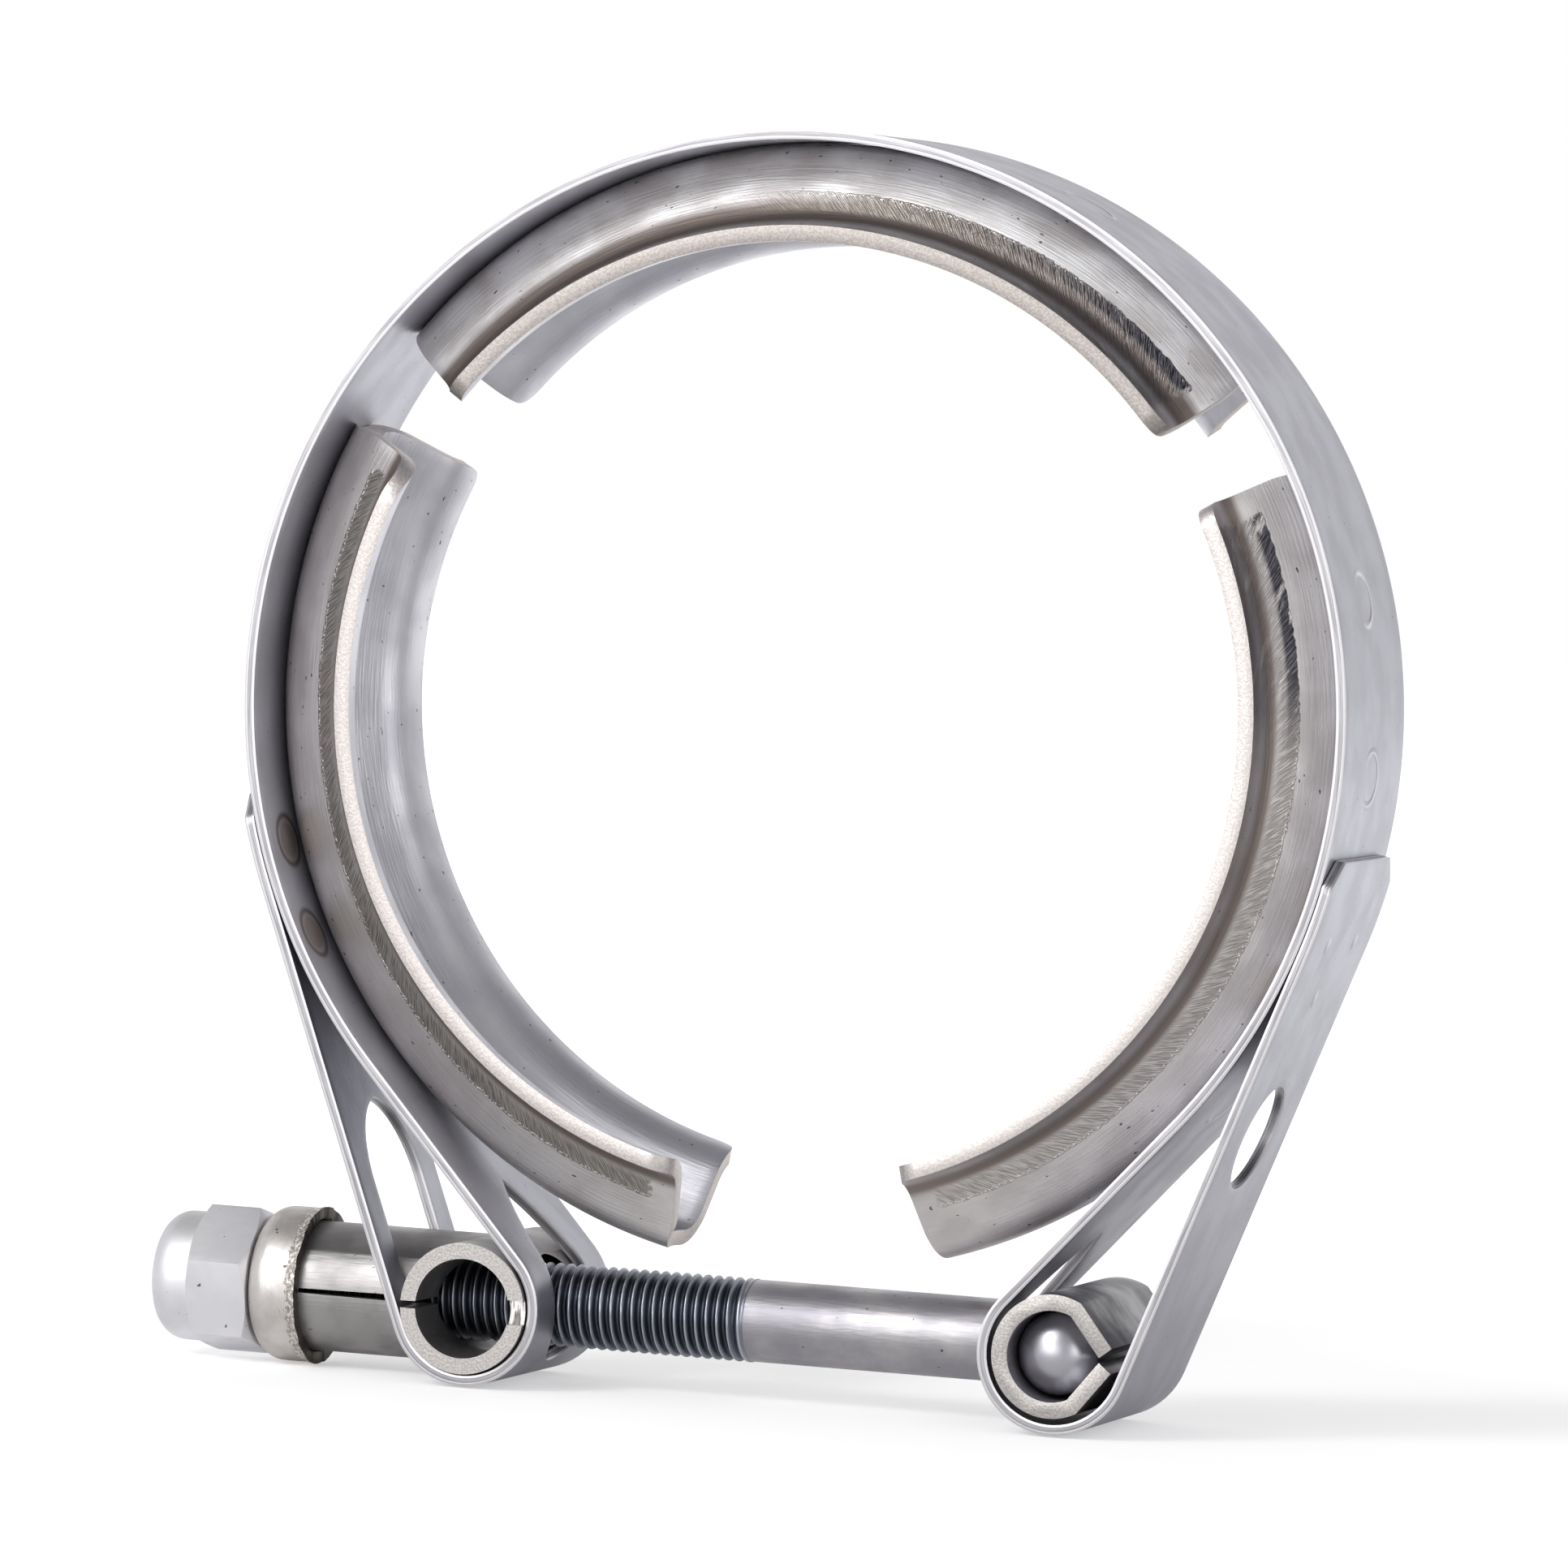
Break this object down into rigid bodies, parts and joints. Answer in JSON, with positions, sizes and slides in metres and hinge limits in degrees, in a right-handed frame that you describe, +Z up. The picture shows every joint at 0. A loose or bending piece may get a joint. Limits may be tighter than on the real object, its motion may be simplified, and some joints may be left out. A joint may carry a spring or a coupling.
{
  "type": "v-band clamp",
  "caption": "Stainless V-band clamp: a sprung strap with V retainers that a T-bolt and lock nut pull closed round a pair of pipe flanges.",
  "frame": {"origin": "centre of the strap's ring, midway across its width, on the axis that the flanges share", "axes": "+X along the T-bolt from the lock nut towards the T-head, +Y along the ring's axis, +Z up from the T-bolt to the crown of the strap"},
  "size_m": [0.1171, 0.0216, 0.1195],
  "materials": {
    "strap_steel": "satin stainless sheet",
    "retainer_steel": "rolled stainless channel with ground flanks",
    "trunnion_steel": "satin stainless",
    "bolt_steel": "machined stainless, darker in the thread",
    "cap_steel": "drawn stainless cup",
    "nut_steel": "bright satin"
  },
  "bodies": {
    "crown": {"strap": "strap_steel", "retainer_top": "retainer_steel"},
    "left_arm": {"retainer_left": "retainer_steel"},
    "right_arm": {"retainer_right": "retainer_steel"},
    "nut_end": {"nut_trunnion": "trunnion_steel", "tube_cap": "cap_steel"},
    "nut": {"lock_nut": "nut_steel"},
    "tee_bolt": {"t_bolt": "bolt_steel", "bolt_trunnion": "trunnion_steel"}
  },
  "joints": [
    {"name": "left_arm_flex", "type": "hinge", "parent": "crown", "child": "left_arm", "pos_m": [-0.04474, 0, 0.02933], "axis": [0, -1, 0], "range_deg": [0, 5], "deforming": ["strap"]},
    {"name": "right_arm_flex", "type": "hinge", "parent": "crown", "child": "right_arm", "pos_m": [0.04474, 0, 0.02933], "axis": [0, 1, 0], "range_deg": [0, 5], "deforming": ["strap"]},
    {"name": "nut_trunnion_swivel", "type": "hinge", "parent": "left_arm", "child": "nut_end", "pos_m": [-0.029, 0, -0.058], "axis": [0, 1, 0], "range_deg": [0, 5]},
    {"name": "bolt_trunnion_swivel", "type": "hinge", "parent": "right_arm", "child": "tee_bolt", "pos_m": [0.029, 0, -0.058], "axis": [0, -1, 0], "range_deg": [0, 5]},
    {"name": "nut_spin", "type": "hinge", "parent": "nut_end", "child": "nut", "pos_m": [-0.0558, 0, -0.058], "axis": [1, 0, 0], "range_deg": [0, 5150]}
  ],
  "couplings": [
    {"joint": "right_arm_flex", "follows": "left_arm_flex", "ratio": 1},
    {"joint": "nut_trunnion_swivel", "follows": "left_arm_flex", "ratio": 1},
    {"joint": "bolt_trunnion_swivel", "follows": "left_arm_flex", "ratio": 1},
    {"joint": "nut_spin", "follows": "left_arm_flex", "ratio": 1030}
  ]
}
